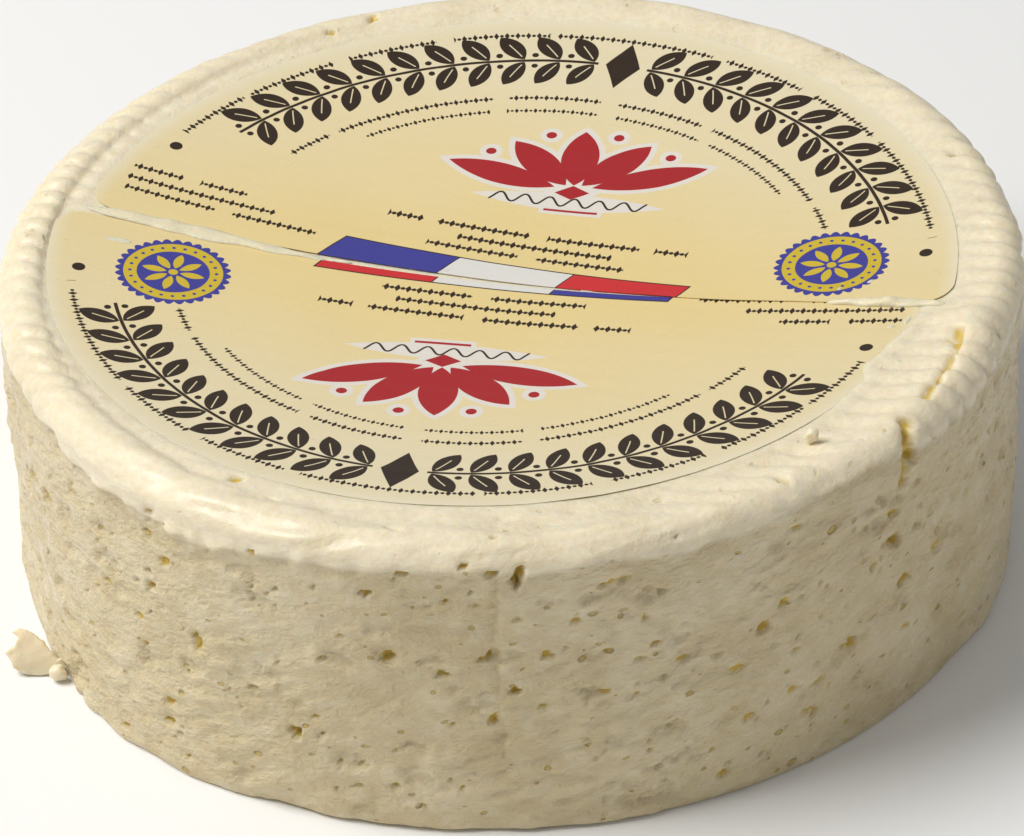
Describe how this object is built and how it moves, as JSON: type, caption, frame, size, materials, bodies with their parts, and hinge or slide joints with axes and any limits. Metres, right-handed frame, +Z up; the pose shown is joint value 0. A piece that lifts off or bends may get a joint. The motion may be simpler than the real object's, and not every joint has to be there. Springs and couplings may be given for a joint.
{
  "type": "cheese wheel",
  "caption": "Whole wheel of fresh soft cheese without a rind, with a dished top covered by half-round film labels, resting on its flat base.",
  "frame": {"origin": "middle of the flat base, where the wheel rests", "axes": "+Z up through the middle of the wheel, +Y away from the viewer who reads the back label upright, +X to that viewer's right"},
  "size_m": [0.13, 0.13, 0.043],
  "materials": {
    "cheese": null,
    "label_film": "warm ivory printed paper with a glossy film face"
  },
  "bodies": {
    "root": {"cheese_wheel": "cheese", "label_front": "label_film", "label_back": "label_film"}
  },
  "joints": []
}
